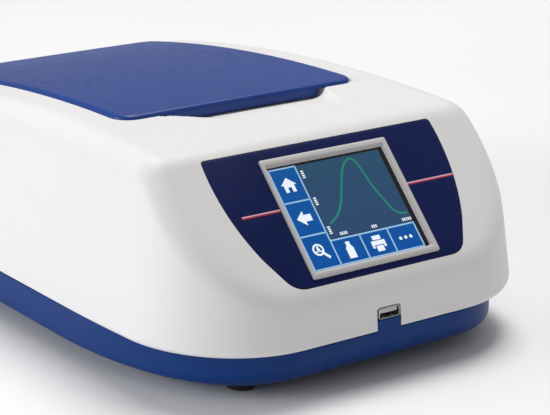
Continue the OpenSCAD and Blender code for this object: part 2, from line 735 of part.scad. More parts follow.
// Tube on a foot, with a shoulder that a lens rests on
module lens_barrel(x0, x1) {
    xm = (x0 + x1) / 2;
    difference() {
        union() {
            rod_x(x0, x1, chamber_y, beam_z, 8);
            box(xm - 4, xm + 4, chamber_y - 8, chamber_y + 8, bench_top, beam_z - 2);
        }
        rod_x(x0 - 1, xm - 1.5, chamber_y, beam_z, 6);
        rod_x(xm - 2, xm + 1.6, chamber_y, beam_z, 6.5);
        rod_x(xm + 1.5, x1 + 1, chamber_y, beam_z, 5.5);
    }
}
module lens(x) {
    translate([x, chamber_y, beam_z]) rotate([0, 90, 0]) intersection() {
        translate([0, 0, -1.6]) cylinder(r = 6.45, h = 3.2);
        translate([0, 0, -18.4]) sphere(r = 20, $fn = 96);
        translate([0, 0, 18.4]) sphere(r = 20, $fn = 96);
    }
}
barrel_l = [-69.5, -45];
barrel_r = [45, 65];
module collimator_barrel() { color("dimgray") lens_barrel(barrel_l[0], barrel_l[1]); }
module focus_barrel() { color("dimgray") lens_barrel(barrel_r[0], barrel_r[1]); }
module collimator_lens() { color("lightcyan") lens((barrel_l[0] + barrel_l[1]) / 2); }
module focus_lens() { color("lightcyan") lens((barrel_r[0] + barrel_r[1]) / 2); }
spec_x = [66.6, 102];
spec_y = [chamber_y - 30, chamber_y + 40];
spec_z = [bench_top, beam_z + 16];
module spectrometer_housing() {
    color("dimgray") difference() {
        box(spec_x[0], spec_x[1], spec_y[0], spec_y[1], spec_z[0], spec_z[1]);
        box(spec_x[0] + 3, spec_x[1] - 3, spec_y[0] + 3, spec_y[1] - 3, spec_z[0] + 3, spec_z[1] + 1);
        rod_x(spec_x[0] - 1, spec_x[0] + 5, chamber_y, beam_z, 3);
        box(spec_x[0] + 8, spec_x[0] + 26, spec_y[1] - 4, spec_y[1] + 1, beam_z - 3, beam_z + 3);
    }
}
module spectrometer_cover() {
    color("silver") box(spec_x[0], spec_x[1], spec_y[0], spec_y[1], spec_z[1], spec_z[1] + 2);
}
module entrance_slit() {
    color("silver") difference() {
        box(spec_x[0] + 3, spec_x[0] + 3.5, chamber_y - 7, chamber_y + 7, beam_z - 7, beam_z + 7);
        box(spec_x[0] + 2, spec_x[0] + 5, chamber_y - 0.15, chamber_y + 0.15, beam_z - 2, beam_z + 2);
    }
}
module fold_mirror() {
    color("silver") translate([spec_x[1] - 10, chamber_y, spec_z[0] + 3]) rotate([0, 0, 40])
        translate([-1.5, -7, 0]) cube([3, 14, 24]);
}
module grating_block() {
    color("gold") translate([spec_x[0] + 14, spec_y[0] + 9, spec_z[0] + 3]) rotate([0, 0, -60])
        translate([-2.5, -7, 0]) cube([5, 14, 24]);
}
module detector_array() {
    color("black") box(spec_x[0] + 9, spec_x[0] + 25, spec_y[1] - 3, spec_y[1] + 0.4,
        beam_z - 2.6, beam_z + 2.6);
}
module detector_board() {
    color("darkgreen") box(spec_x[0] + 1, spec_x[1] - 2, spec_y[1] + 0.4, spec_y[1] + 2,
        beam_z - 14, beam_z + 12);
}

// ---- electronics ----
module main_board() {
    color("darkgreen") difference() {
        box(-80, 80, 74, 162, board_z, board_z + board_t);
        for (p = board_post_xy) rod_z(board_z - 1, board_z + 3, p.x, p.y, 1.6);
    }
}
module board_standoffs() {
    color("silver") for (p = board_post_xy) difference() {
        rod_z(base_z + wall, board_z, p.x, p.y, 3);
        rod_z(board_z - 6, board_z + 1, p.x, p.y, 1.25);
    }
}
module board_screws() {
    color("silver") for (p = board_post_xy) translate([p.x, p.y, board_z + board_t])
        rotate([180, 0, 0]) screw(1.25, 6, 2.4, 1.5);
}
module processor_heatsink() {
    color("silver") {
        box(-12, 12, 100, 124, board_z + board_t, board_z + 4);
        for (i = [0 : 5]) box(-12 + i * 4.4, -10.4 + i * 4.4, 100, 124, board_z + 4 - eps, board_z + 13);
    }
}

top_case();
base_tray();
rear_panel();
rear_panel_screws();
rubber_feet();
case_screws();
fascia_overlay();
screen_bezel();
touch_glass();
display_panel();
display_board();
display_screws();
ribbon_cable();
front_usb_shell();
front_usb_tongue();
front_usb_board();
sample_lid();
lid_inner_plate();
lid_hinge_arms();
lid_screws();
lid_magnet();
hinge_brackets();
hinge_bracket_screws();
hinge_pins();
lid_switch();
lid_seal();
chamber_liner();
cuvette_holder();
cuvette_spring();
holder_screws();
beam_windows();
optical_bench();
bench_posts();
bench_screws();
lamp_housing();
lamp_bulb();
collimator_barrel();
collimator_lens();
focus_barrel();
focus_lens();
entrance_slit();
spectrometer_housing();
spectrometer_cover();
grating_block();
fold_mirror();
detector_array();
detector_board();
main_board();
board_standoffs();
board_screws();
processor_heatsink();
rear_usb_socket();
rear_io_board();
power_inlet();
inlet_contact();
switch_frame();
power_rocker();
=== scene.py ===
import json
import math

import bmesh
import bpy
import numpy as np
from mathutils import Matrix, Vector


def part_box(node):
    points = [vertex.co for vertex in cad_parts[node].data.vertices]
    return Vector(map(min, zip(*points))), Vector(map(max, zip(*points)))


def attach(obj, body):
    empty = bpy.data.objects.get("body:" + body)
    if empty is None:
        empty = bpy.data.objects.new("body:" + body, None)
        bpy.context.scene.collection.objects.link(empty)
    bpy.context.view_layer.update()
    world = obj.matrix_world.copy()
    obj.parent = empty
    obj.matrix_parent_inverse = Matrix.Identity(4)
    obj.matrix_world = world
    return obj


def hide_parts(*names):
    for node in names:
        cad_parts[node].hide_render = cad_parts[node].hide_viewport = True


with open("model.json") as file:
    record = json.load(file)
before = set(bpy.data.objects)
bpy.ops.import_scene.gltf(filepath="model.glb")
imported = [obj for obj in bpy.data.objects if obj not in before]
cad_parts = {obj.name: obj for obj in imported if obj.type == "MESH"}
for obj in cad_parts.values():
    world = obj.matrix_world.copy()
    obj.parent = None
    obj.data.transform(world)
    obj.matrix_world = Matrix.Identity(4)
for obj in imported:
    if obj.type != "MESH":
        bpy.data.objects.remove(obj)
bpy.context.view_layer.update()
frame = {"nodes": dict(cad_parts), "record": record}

# Lengths are in millimetres, and become metres when a mesh is made.
MM = 0.001
SCENE = bpy.context.scene
NODES = frame["nodes"]


def ends(node):
    """Lowest and highest corners of a CAD node, in millimetres."""
    lo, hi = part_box(node)
    return np.array(lo) / MM, np.array(hi) / MM


# ---------------------------------------------------------------- places, from the frame
CASE_LO, CASE_HI = ends("top_case")
BASE_LO, _ = ends("base_tray")
LID_LO, LID_HI = ends("sample_lid")
GLASS_LO, GLASS_HI = ends("touch_glass")
HALF_W = CASE_HI[0]
Y_FRONT, Y_REAR = CASE_LO[1], CASE_HI[1]
SEAM_Z = CASE_LO[2]
LID_W, LID_FRONT, LID_REAR = LID_HI[0], LID_LO[1], LID_HI[1]

# ---------------------------------------------------------------- the design's own sizes
LID_PROUD, LID_GAP = 0.8, 0.8
ARCH_TOP = LID_HI[2] - LID_PROUD
ARCH_R, ARCH_Y = 1180.0, -45.0
CASE_DROP = 1.2
LEAN, LEAN_GROWTH, LEAN_FRONT = 0.09, 0.0003, 0.7
TOP_CROWN = 0.5
FRONT_R, REAR_R = 62.0, 34.0
WALL = 2.8
SLOPE = math.radians(46)
SHOULDER_R, FASCIA_R, RIDGE_R = 13.0, 14.0, 16.0
FACET_BLEND = 16.0
LID_T, LID_R = 2.8, 10.0
SCOOP_W, SCOOP_DEEP = 108.0, 6.1
GRIP_W, GRIP_D = 102.0, 6.6
SKIRT_D, WELL_D, REBATE_D = 8.0, 9.2, 2.4
# Half size of the hole over the sample chamber, and its middle
CHAMBER, CHAMBER_Y = 44.3, 4.0

# The fascia's own directions: u across, v up the slope, n out of the surface
FACET_V = np.array([0, math.cos(SLOPE), math.sin(SLOPE)])
FACET_N = np.array([0, -math.sin(SLOPE), math.cos(SLOPE)])
GLASS_TOP = 0.4
GLASS_MID = (GLASS_LO + GLASS_HI) / 2 + FACET_N * GLASS_TOP
SCREEN_X = GLASS_MID[0]
FACET_O = np.array([0.0, GLASS_MID[1], GLASS_MID[2]])


def arch(y, off):
    """Height of the arch that the case's top and the lid follow."""
    return ARCH_TOP + off - (y - ARCH_Y) ** 2 / (2 * ARCH_R)


def on_facet(points):
    """Turns (u, v, n) rows into places in the frame."""
    p = np.asarray(points, float)
    return FACET_O + np.outer(p[:, 0], [1, 0, 0]) + np.outer(p[:, 1], FACET_V) + np.outer(p[:, 2], FACET_N)


def smooth(t):
    t = np.clip(t, 0, 1)
    return t * t * (3 - 2 * t)


# ---------------------------------------------------------------- meshes
def piece(name, verts, faces, merge=0.0):
    """A mesh object from millimetre points, with its faces turned outwards."""
    mesh = bpy.data.meshes.new(name)
    mesh.from_pydata([tuple(float(c) * MM for c in v) for v in verts], [], [tuple(f) for f in faces])
    obj = bpy.data.objects.new(name, mesh)
    SCENE.collection.objects.link(obj)
    bm = bmesh.new()
    bm.from_mesh(mesh)
    if merge:
        bmesh.ops.remove_doubles(bm, verts=bm.verts, dist=merge * MM)
    bmesh.ops.recalc_face_normals(bm, faces=bm.faces)
    bm.to_mesh(mesh)
    bm.free()
    return obj


def settle(obj):
    """Applies an object's modifiers, so that its mesh is the final one."""
    depsgraph = bpy.context.evaluated_depsgraph_get()
    mesh = bpy.data.meshes.new_from_object(obj.evaluated_get(depsgraph))
    obj.modifiers.clear()
    old = obj.data
    obj.data = mesh
    bpy.data.meshes.remove(old)


def discard(*objs):
    for o in objs:
        bpy.data.objects.remove(o)


def fingerprint(mesh):
    """Tells whether a mesh has changed."""
    places = np.empty(3 * len(mesh.vertices))
    mesh.vertices.foreach_get("co", places)
    return len(mesh.vertices), len(mesh.polygons), float(np.abs(places).sum())


def carve(obj, *tools, how="DIFFERENCE"):
    """Cuts each tool out of obj, or joins it on, and removes the tools.

    The exact solver takes over where the quick one turns the shapes down."""
    for tool in tools:
        before = fingerprint(obj.data)
        for solver in ("MANIFOLD", "EXACT"):
            mod = obj.modifiers.new("carve", "BOOLEAN")
            mod.operation = how
            mod.object = tool
            mod.solver = solver
            bpy.context.view_layer.update()
            settle(obj)
            if fingerprint(obj.data) != before:
                break
            print(f"the {solver} solver left {obj.name} as it was, with {tool.name}")
        discard(tool)


def finish_mesh(obj, material, *, sharp=32, body="instrument", replaces=(), weighted=True):
    """Shading, material, body and slot of a finished piece."""
    mesh = obj.data
    mesh.materials.clear()
    mesh.materials.append(material)
    mesh.polygons.foreach_set("material_index", [0] * len(mesh.polygons))
    mesh.polygons.foreach_set("use_smooth", [True] * len(mesh.polygons))
    mesh.set_sharp_from_angle(angle=math.radians(sharp))
    if weighted:
        mod = obj.modifiers.new("weighted", "WEIGHTED_NORMAL")
        mod.keep_sharp = True
        mod.weight = 60
    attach(obj, body)
    if replaces:
        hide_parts(*replaces)


def loft(name, rings, close="caps"):
    """Skins rings of equal length: with n-gon caps, or as a ring of its own ("loop")."""
    n = len(rings[0])
    verts = np.vstack(rings)
    faces = []
    spans = len(rings) - (0 if close == "loop" else 1)
    for k in range(spans):
        a, b = k * n, ((k + 1) % len(rings)) * n
        faces += [(a + i, a + (i + 1) % n, b + (i + 1) % n, b + i) for i in range(n)]
    if close == "caps":
        faces += [tuple(range(n)), tuple(range((len(rings) - 1) * n, len(rings) * n))]
    return piece(name, verts, faces)


def half_outline(half, y0, y1, r0, r1, step=6.0):
    """Right half of a round-cornered rectangle from front to rear, as (x, y) rows."""
    turn = np.linspace(0, math.pi / 2, 9)
    front = [(half - r0 + r0 * math.sin(a), y0 + r0 - r0 * math.cos(a)) for a in turn]
    n = max(2, int((y1 - r1 - y0 - r0) / step))
    side = [(half, y) for y in np.linspace(y0 + r0, y1 - r1, n + 1)[1:-1]]
    rear = [(half - r1 + r1 * math.cos(a), y1 - r1 + r1 * math.sin(a)) for a in turn]
    return np.array(front + side + rear)


def arched(name, outlines, heights, across=1, crown=0.0, crown_w=1.0):
    """A solid whose rings follow the arch: outlines are right halves, heights are offsets from the arch.

    The first and last rings are closed with a grid of the given number of strips from side to side."""
    n, between = len(outlines[0]), across - 1
    ring = 2 * (n + between)
    share = np.linspace(1, -1, across + 1)[1:-1, None] * [1, 0] + [0, 1]

    def lift(points, off):
        return [(x, y, arch(y, off) - crown * (x / crown_w) ** 2) for x, y in points]

    verts, faces = [], []
    for right, off in zip(outlines, heights):
        both = np.vstack([right, right[-1] * share, right[::-1] * [-1, 1], (right[0] * share)[::-1]])
        verts += lift(both, off)
    for k in range(len(outlines) - 1):
        a, b = k * ring, (k + 1) * ring
        faces += [(a + i, a + (i + 1) % ring, b + (i + 1) % ring, b + i) for i in range(ring)]
    for k in (0, len(outlines) - 1):
        base = k * ring
        rows = [[base] + [base + ring - t for t in range(1, across)] + [base + ring - across]]
        for i in range(1, n - 1):
            inner = list(range(len(verts), len(verts) + between))
            rows.append([base + i] + inner + [base + 2 * n + between - 1 - i])
            verts += lift(outlines[k][i] * share, heights[k])
        rows.append([base + n - 1 + t for t in range(across + 1)])
        for near, far in zip(rows, rows[1:]):
            faces += [(near[t], near[t + 1], far[t + 1], far[t]) for t in range(across)]
    return piece(name, verts, faces)


def prism(name, outline, axis, a, b):
    """An outline pushed from a to b along x, y or z. It is drawn in the other two directions, in order."""
    order = {"x": (2, 0, 1), "y": (0, 2, 1), "z": (0, 1, 2)}[axis]
    rings = []
    for end in (a, b):
        flat = np.column_stack([np.array(outline, float), np.full(len(outline), float(end))])
        rings.append(flat[:, order])
    return loft(name, rings)


def block(name, lo, hi):
    outline = [(lo[0], lo[1]), (hi[0], lo[1]), (hi[0], hi[1]), (lo[0], hi[1])]
    return prism(name, outline, "z", lo[2], hi[2])


def disc(r, cx, cy, n=32):
    turns = [2 * math.pi * i / n for i in range(n)]
    return [(cx + r * math.cos(t), cy + r * math.sin(t)) for t in turns]


def round_rect(hw, hh, r, cx, cy=0.0):
    """A round-cornered rectangle of half sizes hw and hh."""
    r = min(r, hw - 1e-3, hh - 1e-3)
    points = []
    for sx, sy, start in ((1, 1, 0), (-1, 1, 90), (-1, -1, 180), (1, -1, 270)):
        for a in np.linspace(start, start + 90, 6):
            points.append((cx + sx * (hw - r) + r * math.cos(math.radians(a)),
                           cy + sy * (hh - r) + r * math.sin(math.radians(a))))
    return points


def facet_prism(name, outline, n0, n1):
    """An outline drawn on the fascia, pushed from height n0 to n1 above it."""
    pts = np.array(outline, float)
    return loft(name, [on_facet(np.column_stack([pts, np.full(len(pts), n)])) for n in (n0, n1)])


def join(name, objs):
    """Joins pieces into one object."""
    bm = bmesh.new()
    for o in objs:
        bm.from_mesh(o.data)
    mesh = bpy.data.meshes.new(name)
    bm.to_mesh(mesh)
    bm.free()
    discard(*objs)
    out = bpy.data.objects.new(name, mesh)
    SCENE.collection.objects.link(out)
    return out


# ---------------------------------------------------------------- the case's surface
def lean(z):
    """How far the walls lean in at height z."""
    h = np.maximum(z - SEAM_Z, 0)
    return LEAN * h + LEAN_GROWTH * h * h


def plan_field(x, y, z):
    """Distance outside the case's plan, and the y part of the direction out of it."""
    inset = lean(z)
    half = HALF_W - inset
    y0 = Y_FRONT + LEAN_FRONT * inset
    front = y < 0
    r = np.where(front, FRONT_R, REAR_R)
    cx = np.abs(x) - (half - r)
    cy = np.where(front, y0 + r - y, y - (Y_REAR - r))
    px, py = np.maximum(cx, 0), np.maximum(cy, 0)
    length = np.hypot(px, py)
    ny = np.where(length > 1e-9, py / np.maximum(length, 1e-9), (cy > cx) * 1.0)
    return length + np.minimum(np.maximum(cx, cy), 0) - r, np.where(front, -ny, ny)


def round_join(a, b, c, r):
    """Both a and b inside, with a fillet of radius r. c is the cosine of the angle between their normals."""
    a, b = a + r, b + r
    edge = (a - c * b > 0) & (b - c * a > 0) & (np.maximum(a, b) > 0)
    s = np.sqrt(np.maximum(a * a + b * b - 2 * c * a * b, 0) / np.maximum(1 - c * c, 1e-6))
    return np.where(edge, s, np.maximum(a, b)) - r


def scoop_depth(x, y):
    """Depth of the finger scoop in front of the lid. Its floor falls ever faster towards the grip."""
    from_side = SCOOP_W / 2 - np.abs(x)
    reach = 3 + 35 * smooth(from_side / np.where(x < 0, 34, 12))
    along = np.clip((y - (LID_FRONT - reach)) / reach, 0, 1) ** 2
    side = smooth((from_side + 1) / 3)
    return SCOOP_DEEP * along * side * (y < LID_FRONT + 9)


def case_field(p, level):
    """Distance outside the case's surface moved in by level."""
    x, y, z = p[:, 0], p[:, 1], p[:, 2]
    plan, ny = plan_field(x, y, z)
    slope = -(y - ARCH_Y) / ARCH_R
    crown = TOP_CROWN * (x / HALF_W) ** 2
    top = (z - arch(y, -CASE_DROP) + scoop_depth(x, y) + crown) / np.sqrt(1 + slope ** 2)
    facet = (p - FACET_O) @ FACET_N
    cap = round_join(top, facet, math.cos(SLOPE) * np.ones_like(top), RIDGE_R)
    share = smooth((facet - top) / FACET_BLEND + 0.5)
    cos_join = share * (-ny * math.sin(SLOPE))
    radius = SHOULDER_R * (1 - share) + FASCIA_R * share
    return round_join(plan, cap, cos_join, radius) + level


def stations(a, b, step, fine, fine_step):
    """Places from a to b, closer together inside the fine spans."""
    out = [a]
    while out[-1] < b - 1e-6:
        y = out[-1]
        near = any(lo <= y < hi for lo, hi in fine)
        out.append(min(b, y + (fine_step if near else step)))
    if out[-1] - out[-2] < 0.3 * fine_step:
        out.pop(-2)
    return out


def case_shell(name, level, z0, step, turns, lip=0.0):
    """The case's surface as a closed solid: rows up the walls, a fan over the shoulder, and a grid on top.

    Rays leave a box inside the case, and end where they meet the surface."""
    core_x, core_y0, core_y1, core_z = 72.0, -108.0, 138.0, 88.0
    scoop_end = SCOOP_W / 2 - 2
    scoop_ends = [(-scoop_end - 6, 6 - scoop_end), (scoop_end - 6, scoop_end + 6)]
    xs = stations(-core_x, core_x, step, scoop_ends, 1.1)
    ys = stations(core_y0, core_y1, step, [(LID_FRONT - 38, LID_FRONT + 10)], 1.6)
    loop = [(x, core_y0, 0, -1) for x in xs]
    turn = np.linspace(0, math.pi / 2, turns + 1)
    loop += [(core_x, core_y0, math.sin(a), -math.cos(a)) for a in turn[1:]]
    loop += [(core_x, y, 1, 0) for y in ys[1:]]
    loop += [(core_x, core_y1, math.cos(a), math.sin(a)) for a in turn[1:]]
    loop += [(x, core_y1, 0, 1) for x in xs[::-1][1:]]
    loop += [(-core_x, core_y1, -math.sin(a), math.cos(a)) for a in turn[1:]]
    loop += [(-core_x, y, -1, 0) for y in ys[::-1][1:]]
    loop += [(-core_x, core_y0, -math.cos(a), -math.sin(a)) for a in turn[1:-1]]
    loop = np.array(loop, float)
    n = len(loop)
    lip_rows = [0, 0.06, 0.2, 0.42, 0.75, 1.3, 2.0, 3.0, 4.4, 6] if lip else [0]
    low = [z0 + h for h in lip_rows]
    rows = low + list(np.arange(low[-1] + step, core_z, step)) + [core_z]
    origins, rays = [], []
    for z in rows:
        origins.append(np.column_stack([loop[:, 0], loop[:, 1], np.full(n, z)]))
        rays.append(np.column_stack([loop[:, 2], loop[:, 3], np.zeros(n)]))
    for a in turn[1:]:
        origins.append(np.column_stack([loop[:, 0], loop[:, 1], np.full(n, core_z)]))
        rays.append(np.column_stack([loop[:, 2:] * math.cos(a), np.full(n, math.sin(a))]))
    inner = [(x, y) for y in ys[1:-1] for x in xs[1:-1]]
    origins.append(np.array([(x, y, core_z) for x, y in inner]))
    rays.append(np.tile([0.0, 0.0, 1.0], (len(inner), 1)))
    o, d = np.vstack(origins), np.vstack(rays)
    furthest, halvings = 130.0, 34
    near, far = np.zeros(len(o)), np.full(len(o), furthest)
    for _ in range(halvings):
        mid = (near + far) / 2
        inside = case_field(o + d * mid[:, None], level) < 0
        near, far = np.where(inside, mid, near), np.where(inside, far, mid)
    p = o + d * near[:, None]
    if lip:
        # the lower edge is rounded, more where the case stands out over the base
        for k, h in enumerate(lip_rows):
            row = slice(k * n, (k + 1) * n)
            r = lip + 0.28 * overhang(p[row, 0], p[row, 1])
            inset = np.where(h < r, r - np.sqrt(np.maximum(r * r - (r - h) ** 2, 0)), 0)
            p[row, :2] -= d[row, :2] * inset[:, None]
    levels = len(rows) + turns
    faces = [tuple(range(n))]
    for k in range(levels - 1):
        a, b = k * n, (k + 1) * n
        faces += [(a + i, a + (i + 1) % n, b + (i + 1) % n, b + i) for i in range(n)]
    rim = {(round(x, 4), round(y, 4)): (levels - 1) * n + i for i, (x, y) in enumerate(loop[:, :2])}
    grid = dict(rim)
    grid.update({(round(x, 4), round(y, 4)): levels * n + i for i, (x, y) in enumerate(inner)})
    for j in range(len(ys) - 1):
        for i in range(len(xs) - 1):
            quad = [(xs[i], ys[j]), (xs[i + 1], ys[j]), (xs[i + 1], ys[j + 1]), (xs[i], ys[j + 1])]
            faces.append(tuple(grid[(round(x, 4), round(y, 4))] for x, y in quad))
    return piece(name, p, faces, merge=0.002)


# ---------------------------------------------------------------- the base's outline
BASE_FLAT, FLARE_Y, BASE_POWER = 43.0, Y_FRONT + 140, 2.25
EDGE_R, SIDE_R = 16.0, 3.2


def base_outline(inset, edge=(0.0, 0.0)):
    """The base's plan, moved in by inset, and by more to the front (edge[0]) than at the sides (edge[1]).

    One long superellipse runs from its narrow front to the case's full width."""
    right = [(BASE_FLAT + (HALF_W - BASE_FLAT) * math.sin(a) ** (2 / BASE_POWER),
              FLARE_Y - (FLARE_Y - Y_FRONT) * abs(math.cos(a)) ** (2 / BASE_POWER))
             for a in np.linspace(0, math.pi / 2, 41)]
    right += [(HALF_W, y) for y in np.linspace(FLARE_Y, Y_REAR - REAR_R, 16)[1:]]
    right += [(HALF_W - REAR_R + REAR_R * math.cos(a), Y_REAR - REAR_R + REAR_R * math.sin(a))
              for a in np.linspace(0, math.pi / 2, 13)[1:]]
    right = np.array(right, float)
    ring = np.vstack([right, right[::-1] * [-1, 1]])
    ahead, behind = np.roll(ring, -1, 0), np.roll(ring, 1, 0)
    along = ahead - behind
    out = np.column_stack([along[:, 1], -along[:, 0]])
    out /= np.linalg.norm(out, axis=1)[:, None]
    share = np.abs(out[:, 1:]) ** 2.5
    return ring - out * (inset + edge[1] + (edge[0] - edge[1]) * share), share[:, 0]


def overhang(x, y):
    """How far the case stands out over the base at a place on its lower edge."""
    dx, dy = np.maximum(np.abs(x) - BASE_FLAT, 0), np.maximum(FLARE_Y - y, 0)
    reach = (dx / (HALF_W - BASE_FLAT)) ** BASE_POWER + (dy / (FLARE_Y - Y_FRONT)) ** BASE_POWER
    reach = np.maximum(reach, 1.0)
    return np.clip((1 - reach ** (-1 / BASE_POWER)) * np.hypot(dx, dy), 0, 16)


def base_solid(name, inset, z0, z1):
    """The base as a closed solid. Its lower edge is widely rounded at the front, and tighter at the sides."""
    front_r, side_r = EDGE_R - inset, max(SIDE_R - inset, 0.6)
    rings = []
    for a in np.linspace(0, math.pi / 2, 12):
        down, pull = 1 - math.cos(a), 1 - math.sin(a)
        flat, share = base_outline(inset, (front_r * pull, side_r * pull))
        height = z0 + (side_r + (front_r - side_r) * share) * down
        rings.append(np.column_stack([flat, height]))
    for z, tuck in ((z1 - 0.4, 0.0), (z1, 0.3 if inset == 0 else 0.0)):
        flat, _ = base_outline(inset + tuck)
        rings.append(np.column_stack([flat, np.full(len(flat), z)]))
    return loft(name, rings)


# ---------------------------------------------------------------- materials
def shader(name):
    """A new material, with its node tree, its main shader and its object coordinates."""
    mat = bpy.data.materials.new(name)
    mat.use_nodes = True
    tree = mat.node_tree
    bsdf = tree.nodes["Principled BSDF"]
    coord = tree.nodes.new("ShaderNodeTexCoord")
    return mat, tree, bsdf, coord.outputs["Object"]


def noise(tree, coord, scale, detail, stretch=None):
    tex = tree.nodes.new("ShaderNodeTexNoise")
    tex.inputs["Scale"].default_value = scale
    tex.inputs["Detail"].default_value = detail
    if stretch:
        mapping = tree.nodes.new("ShaderNodeMapping")
        mapping.inputs["Scale"].default_value = stretch
        tree.links.new(coord, mapping.inputs["Vector"])
        coord = mapping.outputs["Vector"]
    tree.links.new(coord, tex.inputs["Vector"])
    return tex.outputs["Fac"]


def ramp(tree, fac, *stops):
    """A colour ramp with stops of (place, (r, g, b))."""
    node = tree.nodes.new("ShaderNodeValToRGB")
    while len(node.color_ramp.elements) < len(stops):
        node.color_ramp.elements.new(0.5)
    for element, (place, rgb) in zip(node.color_ramp.elements, stops):
        element.position = place
        element.color = (*rgb, 1)
    tree.links.new(fac, node.inputs["Fac"])
    return node.outputs["Color"]


def spread(tree, fac, lo, hi, from_lo=0.3, from_hi=0.7):
    node = tree.nodes.new("ShaderNodeMapRange")
    for key, value in (("From Min", from_lo), ("From Max", from_hi), ("To Min", lo), ("To Max", hi)):
        node.inputs[key].default_value = value
    tree.links.new(fac, node.inputs["Value"])
    return node.outputs["Result"]


def bump(tree, bsdf, fac, strength, depth):
    node = tree.nodes.new("ShaderNodeBump")
    node.inputs["Strength"].default_value = strength
    node.inputs["Distance"].default_value = depth
    tree.links.new(fac, node.inputs["Height"])
    tree.links.new(node.outputs["Normal"], bsdf.inputs["Normal"])


def tint(rgb, k):
    return tuple(min(1.0, c * k) for c in rgb)


def plastic(name, rgb, rough, grain=1400.0, depth=0.00004, strength=0.25, vary=0.04, specular=0.5):
    """Moulded plastic: a faint drift of tone, uneven gloss and the fine texture of its mould."""
    mat, tree, bsdf, coord = shader(name)
    tone = noise(tree, coord, 9.0, 3.0)
    tree.links.new(ramp(tree, tone, (0.3, tint(rgb, 1 - vary)), (0.7, tint(rgb, 1 + vary))),
                   bsdf.inputs["Base Color"])
    gloss = noise(tree, coord, 160.0, 5.0)
    tree.links.new(spread(tree, gloss, rough - 0.05, rough + 0.05), bsdf.inputs["Roughness"])
    bump(tree, bsdf, noise(tree, coord, grain, 6.0), strength, depth)
    bsdf.inputs["Specular IOR Level"].default_value = specular
    return mat


def metal(name, rgb, rough, stretch=(1, 1, 1), scale=300.0, strength=0.15):
    """Metal with fine lines along its stretch, worn a little unevenly."""
    mat, tree, bsdf, coord = shader(name)
    lines = noise(tree, coord, scale, 8.0, stretch)
    tree.links.new(ramp(tree, lines, (0.3, tint(rgb, 0.86)), (0.7, tint(rgb, 1.08))),
                   bsdf.inputs["Base Color"])
    tree.links.new(spread(tree, lines, rough - 0.08, rough + 0.08), bsdf.inputs["Roughness"])
    bump(tree, bsdf, lines, strength, 0.00003)
    bsdf.inputs["Metallic"].default_value = 1.0
    return mat


def clear(name, rgb):
    """Polished optical glass with a faint tint of its coating."""
    mat, tree, bsdf, coord = shader(name)
    film = noise(tree, coord, 40.0, 2.0)
    tree.links.new(ramp(tree, film, (0.3, tint(rgb, 0.92)), (0.7, rgb)), bsdf.inputs["Base Color"])
    tree.links.new(spread(tree, film, 0.02, 0.06), bsdf.inputs["Roughness"])
    bsdf.inputs["Transmission Weight"].default_value = 0.9
    bsdf.inputs["IOR"].default_value = 1.5
    return mat


def board(name):
    """Green solder mask over a mesh of tracks."""
    mat, tree, bsdf, coord = shader(name)
    cells = tree.nodes.new("ShaderNodeTexVoronoi")
    cells.inputs["Scale"].default_value = 260.0
    cells.distance = "MANHATTAN"
    tree.links.new(coord, cells.inputs["Vector"])
    tracks = cells.outputs["Distance"]
    tones = ((0.25, (0.012, 0.12, 0.05)), (0.32, (0.02, 0.2, 0.09)), (0.6, (0.008, 0.085, 0.035)))
    tree.links.new(ramp(tree, tracks, *tones), bsdf.inputs["Base Color"])
    tree.links.new(spread(tree, tracks, 0.3, 0.5, 0.0, 1.0), bsdf.inputs["Roughness"])
    bump(tree, bsdf, tracks, 0.2, 0.00005)
    return mat


def lit(name, low, high, strength):
    """A lit patch of the display, or a glowing painted highlight: its own light drifts from low to high up
    the screen.
    """
    mat, tree, bsdf, coord = shader(name)
    split = tree.nodes.new("ShaderNodeSeparateXYZ")
    tree.links.new(coord, split.inputs["Vector"])
    reach = 22
    up = spread(tree, split.outputs["Z"], 0.0, 1.0, (FACET_O[2] - reach) * MM, (FACET_O[2] + reach) * MM)
    wave = noise(tree, coord, 30.0, 2.0)
    mix = tree.nodes.new("ShaderNodeMath")
    mix.operation = "MULTIPLY_ADD"
    mix.inputs[1].default_value = 0.85
    tree.links.new(up, mix.inputs[0])
    tree.links.new(spread(tree, wave, 0.0, 0.15), mix.inputs[2])
    colour = ramp(tree, mix.outputs["Value"], (0.0, low), (1.0, high))
    tree.links.new(colour, bsdf.inputs["Emission Color"])
    tree.links.new(colour, bsdf.inputs["Base Color"])
    tree.links.new(spread(tree, wave, 0.22, 0.28), bsdf.inputs["Roughness"])
    bsdf.inputs["Emission Strength"].default_value = strength
    bsdf.inputs["Specular IOR Level"].default_value = 0.25
    return mat


WHITE = plastic("white_moulding", (0.80, 0.795, 0.80), 0.45, vary=0.012, specular=0.4)
BLUE = plastic("blue_moulding", (0.003, 0.037, 0.185), 0.42, vary=0.06, specular=0.16)
LID_BLUE = plastic("lid_moulding", (0.010, 0.050, 0.262), 0.34, grain=900.0, depth=0.00002, strength=0.1,
                   vary=0.05, specular=0.32)
NAVY = plastic("overlay_film", (0.0015, 0.0090, 0.078), 0.42, grain=2200.0, depth=0.00002, vary=0.06,
               specular=0.18)
BEZEL = plastic("bezel_moulding", (0.56, 0.545, 0.555), 0.38, vary=0.03)
BLACK = plastic("black_moulding", (0.014, 0.014, 0.016), 0.5, vary=0.1)
RUBBER = plastic("rubber", (0.012, 0.012, 0.013), 0.75, grain=700.0, depth=0.0001, strength=0.4, vary=0.15)
PANEL = plastic("powder_coat", (0.42, 0.43, 0.44), 0.5, grain=1100.0, depth=0.0001, strength=0.5)
SCREEN_BLACK = plastic("screen_border", (0.004, 0.005, 0.008), 0.16, grain=3000.0, strength=0.03, vary=0.1)
DISPLAY = plastic("display_back", (0.03, 0.03, 0.035), 0.45, vary=0.1)
AMBER = plastic("flex_film", (0.35, 0.14, 0.02), 0.35, vary=0.1)
